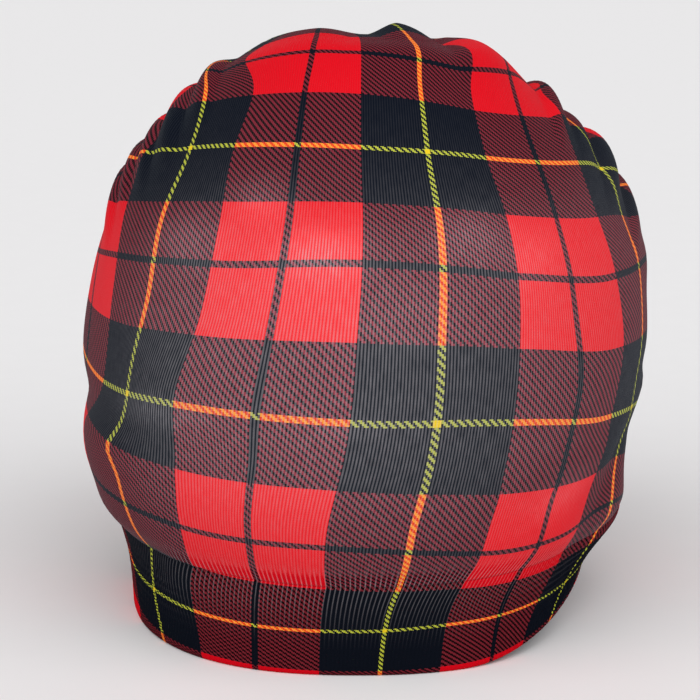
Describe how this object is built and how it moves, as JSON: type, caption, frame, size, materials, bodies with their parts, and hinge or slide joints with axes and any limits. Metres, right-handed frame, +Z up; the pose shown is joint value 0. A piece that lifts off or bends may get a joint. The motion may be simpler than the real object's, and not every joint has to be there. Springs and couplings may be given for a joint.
{
  "type": "beanie",
  "caption": "Close-fitting knitted running beanie with a gathered crown over a narrow ribbed band, in a red and black tartan, standing on its hem.",
  "frame": {"origin": "on the surface that the hem stands on, under the middle of the hat's box", "axes": "+Z up to the top of the crown, +Y towards the back of the hat, +X towards the wearer's left"},
  "size_m": [0.176, 0.1884, 0.1793],
  "materials": {
    "crown_knit": "fine stretch knit printed in a red, black and yellow tartan, pale yarn showing where it is stretched, soft sheen",
    "band_knit": "double ribbed stretch knit printed in the same tartan",
    "thread": "dark sewing thread"
  },
  "bodies": {
    "root": {"crown": "crown_knit", "rib_band": "band_knit", "top_thread": "thread"}
  },
  "joints": []
}
